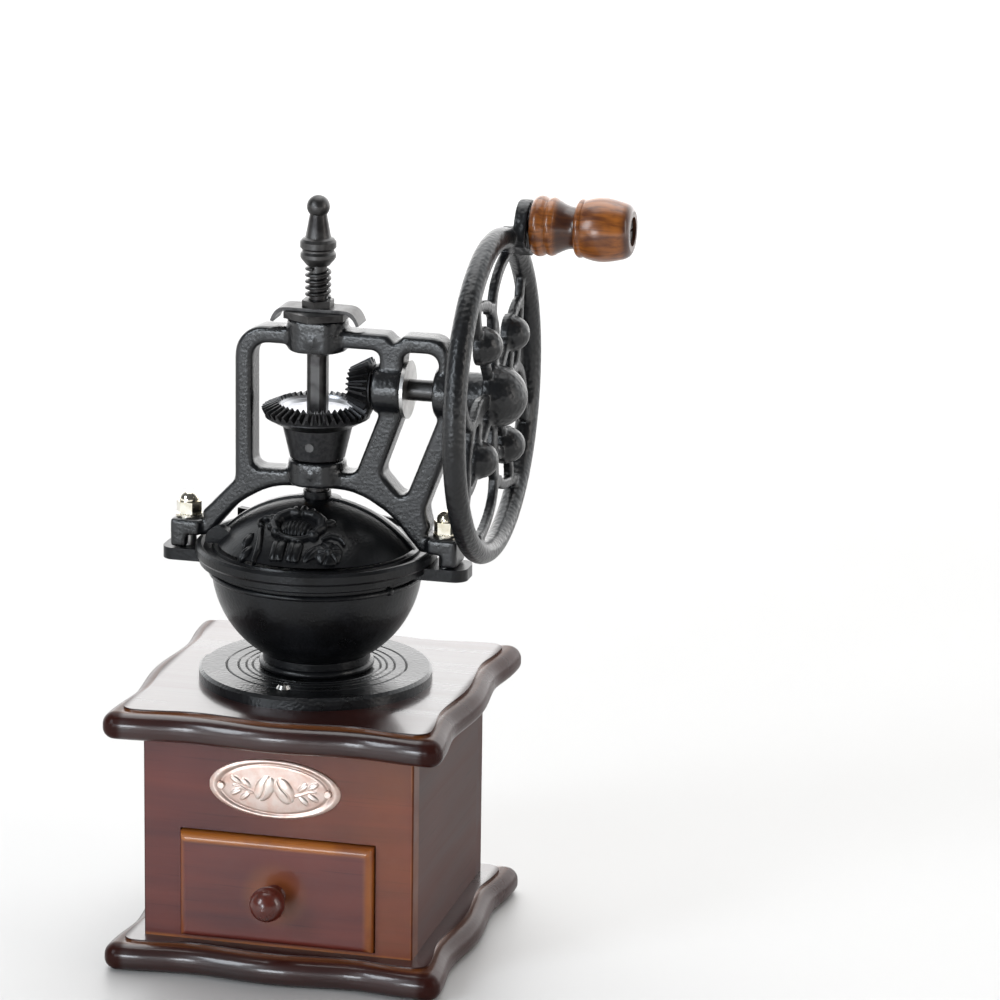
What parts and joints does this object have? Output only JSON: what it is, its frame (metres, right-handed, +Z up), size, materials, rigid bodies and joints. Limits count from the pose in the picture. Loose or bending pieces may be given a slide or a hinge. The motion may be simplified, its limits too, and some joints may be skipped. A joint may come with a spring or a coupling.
{
  "type": "hand crank coffee grinder",
  "caption": "Tabletop coffee mill with a wooden drawer box, cast hopper and domed lid, bridge frame, bevel gears and a spoked hand wheel with a turned grip.",
  "frame": {"origin": "centre of the base's underside, on the grinding spindle's axis", "axes": "+Z up along the spindle, +X along the crank shaft towards the hand wheel, -Y towards the drawer front"},
  "size_m": [0.1564, 0.1206, 0.2521],
  "materials": {
    "dark_wood": "glossy lacquer",
    "stained_wood": "satin lacquer",
    "plain_wood": "plain",
    "amber_wood": "glossy lacquer",
    "black_casting": "satin black",
    "rough_casting": "pebbled satin black",
    "cast_iron": "as cast",
    "blackened_steel": "blackened",
    "bright_steel": "bright",
    "nickel": "polished",
    "bronze": "turned",
    "copper": "satin"
  },
  "bodies": {
    "body": {"base_board": "dark_wood", "base_screws": "bright_steel", "top_board": "dark_wood", "front_panel": "stained_wood", "back_panel": "stained_wood", "left_panel": "stained_wood", "right_panel": "stained_wood", "drawer_guides": "plain_wood", "name_plate": "copper", "plate_nails": "copper", "foot_plate": "black_casting", "foot_screws": "blackened_steel", "hopper_bowl": "black_casting", "cover_ring": "black_casting", "rear_dome": "black_casting", "bridge_frame": "black_casting", "frame_studs": "bright_steel", "stud_washers": "nickel", "acorn_nuts": "nickel", "lower_spindle_bush": "bronze", "upper_spindle_bush": "blackened_steel", "inner_crank_bush": "bronze", "outer_crank_bush": "bronze", "outer_burr": "cast_iron", "lock_leaf": "blackened_steel", "lock_nut": "blackened_steel", "lift_spring": "blackened_steel"},
    "drawer": {"drawer_front": "stained_wood", "drawer_left_side": "plain_wood", "drawer_right_side": "plain_wood", "drawer_back": "plain_wood", "drawer_bottom": "plain_wood", "drawer_knob": "dark_wood", "drawer_knob_screw": "bright_steel"},
    "lid": {"lid": "black_casting"},
    "crank": {"crank_shaft": "blackened_steel", "pinion": "cast_iron", "shaft_collar": "bright_steel", "hand_wheel": "rough_casting", "handle_pin": "blackened_steel"},
    "grip": {"handle_grip": "amber_wood"},
    "gear": {"crown_gear": "cast_iron", "gear_set_screw": "blackened_steel"},
    "spindle": {"spindle": "blackened_steel", "inner_burr": "cast_iron", "burr_nut": "blackened_steel"},
    "finial": {"finial": "blackened_steel"}
  },
  "joints": [
    {"name": "crank_spin", "type": "hinge", "parent": "body", "child": "crank", "pos_m": [0, 0, 0.1895], "axis": [1, 0, 0], "continuous": true},
    {"name": "handle_spin", "type": "hinge", "parent": "crank", "child": "grip", "pos_m": [0.07, 0.02318, 0.24157], "axis": [1, 0, 0], "continuous": true},
    {"name": "gear_spin", "type": "hinge", "parent": "body", "child": "gear", "pos_m": [0, 0, 0.17], "axis": [0, 0, 1], "continuous": true},
    {"name": "spindle_rise", "type": "slide", "parent": "gear", "child": "spindle", "axis": [0, 0, 1], "range_m": [-0.001, 0.0005]},
    {"name": "finial_turn", "type": "hinge", "parent": "gear", "child": "finial", "pos_m": [0, 0, 0.235], "axis": [0, 0, 1], "range_deg": [-180, 360]},
    {"name": "lid_turn", "type": "hinge", "parent": "body", "child": "lid", "pos_m": [0, 0, 0.145], "axis": [0, 0, 1], "range_deg": [0, 135]},
    {"name": "drawer_slide", "type": "slide", "parent": "body", "child": "drawer", "axis": [0, -1, 0], "range_m": [0, 0.06]}
  ],
  "couplings": [
    {"joint": "gear_spin", "follows": "crank_spin", "ratio": 0.5},
    {"joint": "finial_turn", "follows": "spindle_rise", "rad_per_m": -6283}
  ]
}
